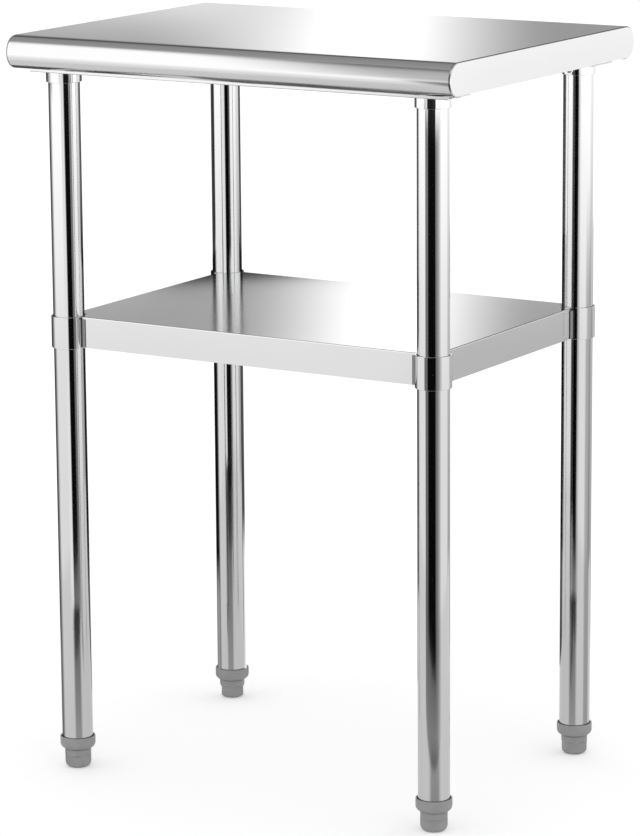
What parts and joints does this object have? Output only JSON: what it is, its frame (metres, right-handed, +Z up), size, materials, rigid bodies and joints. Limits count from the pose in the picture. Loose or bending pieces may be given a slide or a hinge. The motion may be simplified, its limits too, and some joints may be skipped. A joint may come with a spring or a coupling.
{
  "type": "stainless work table",
  "caption": "Free-standing stainless kitchen work table: rolled-edge rectangular top on round tube legs, with a sliding undershelf and screw-out levelling feet.",
  "frame": {"origin": "on the floor, under the centre of the worktop", "axes": "+X along the table's length, front at -Y, +Z up"},
  "size_m": [0.6096, 0.4572, 0.9144],
  "materials": {
    "polished_steel": "polished stainless steel",
    "satin_steel": "mill-finish stainless channel",
    "dark_steel": "plain steel screws and studs",
    "gray_plastic": "moulded grey plastic"
  },
  "bodies": {
    "frame": {"top_sheet": "polished_steel", "front_rail": "satin_steel", "rear_rail": "satin_steel", "leg_socket_front_left": "polished_steel", "socket_screw_front_left": "dark_steel", "leg_front_left": "polished_steel", "foot_insert_front_left": "gray_plastic", "leg_socket_front_right": "polished_steel", "socket_screw_front_right": "dark_steel", "leg_front_right": "polished_steel", "foot_insert_front_right": "gray_plastic", "leg_socket_rear_left": "polished_steel", "socket_screw_rear_left": "dark_steel", "leg_rear_left": "polished_steel", "foot_insert_rear_left": "gray_plastic", "leg_socket_rear_right": "polished_steel", "socket_screw_rear_right": "dark_steel", "leg_rear_right": "polished_steel", "foot_insert_rear_right": "gray_plastic"},
    "undershelf": {"shelf_sheet": "polished_steel", "shelf_stiffener": "satin_steel", "shelf_collar_front_left": "polished_steel", "shelf_screw_front_left": "dark_steel", "shelf_collar_front_right": "polished_steel", "shelf_screw_front_right": "dark_steel", "shelf_collar_rear_left": "polished_steel", "shelf_screw_rear_left": "dark_steel", "shelf_collar_rear_right": "polished_steel", "shelf_screw_rear_right": "dark_steel"},
    "stem_front_left": {"foot_stem_front_left": "dark_steel"},
    "barrel_front_left": {"foot_barrel_front_left": "gray_plastic"},
    "stem_front_right": {"foot_stem_front_right": "dark_steel"},
    "barrel_front_right": {"foot_barrel_front_right": "gray_plastic"},
    "stem_rear_left": {"foot_stem_rear_left": "dark_steel"},
    "barrel_rear_left": {"foot_barrel_rear_left": "gray_plastic"},
    "stem_rear_right": {"foot_stem_rear_right": "dark_steel"},
    "barrel_rear_right": {"foot_barrel_rear_right": "gray_plastic"}
  },
  "joints": [
    {"name": "shelf_slide", "type": "slide", "parent": "frame", "child": "undershelf", "axis": [0, 0, 1], "range_m": [-0.485, 0.28]},
    {"name": "foot_travel_front_left", "type": "slide", "parent": "frame", "child": "stem_front_left", "axis": [0, 0, -1], "range_m": [0, 0.025]},
    {"name": "foot_turn_front_left", "type": "hinge", "parent": "stem_front_left", "child": "barrel_front_left", "pos_m": [-0.255, -0.179, 0.012], "axis": [0, 0, -1], "range_deg": [0, 5143]},
    {"name": "foot_travel_front_right", "type": "slide", "parent": "frame", "child": "stem_front_right", "axis": [0, 0, -1], "range_m": [0, 0.025]},
    {"name": "foot_turn_front_right", "type": "hinge", "parent": "stem_front_right", "child": "barrel_front_right", "pos_m": [0.255, -0.179, 0.012], "axis": [0, 0, -1], "range_deg": [0, 5143]},
    {"name": "foot_travel_rear_left", "type": "slide", "parent": "frame", "child": "stem_rear_left", "axis": [0, 0, -1], "range_m": [0, 0.025]},
    {"name": "foot_turn_rear_left", "type": "hinge", "parent": "stem_rear_left", "child": "barrel_rear_left", "pos_m": [-0.255, 0.179, 0.012], "axis": [0, 0, -1], "range_deg": [0, 5143]},
    {"name": "foot_travel_rear_right", "type": "slide", "parent": "frame", "child": "stem_rear_right", "axis": [0, 0, -1], "range_m": [0, 0.025]},
    {"name": "foot_turn_rear_right", "type": "hinge", "parent": "stem_rear_right", "child": "barrel_rear_right", "pos_m": [0.255, 0.179, 0.012], "axis": [0, 0, -1], "range_deg": [0, 5143]}
  ],
  "couplings": [
    {"joint": "foot_turn_front_left", "follows": "foot_travel_front_left", "rad_per_m": 3590.4},
    {"joint": "foot_turn_front_right", "follows": "foot_travel_front_right", "rad_per_m": 3590.4},
    {"joint": "foot_turn_rear_left", "follows": "foot_travel_rear_left", "rad_per_m": 3590.4},
    {"joint": "foot_turn_rear_right", "follows": "foot_travel_rear_right", "rad_per_m": 3590.4}
  ]
}
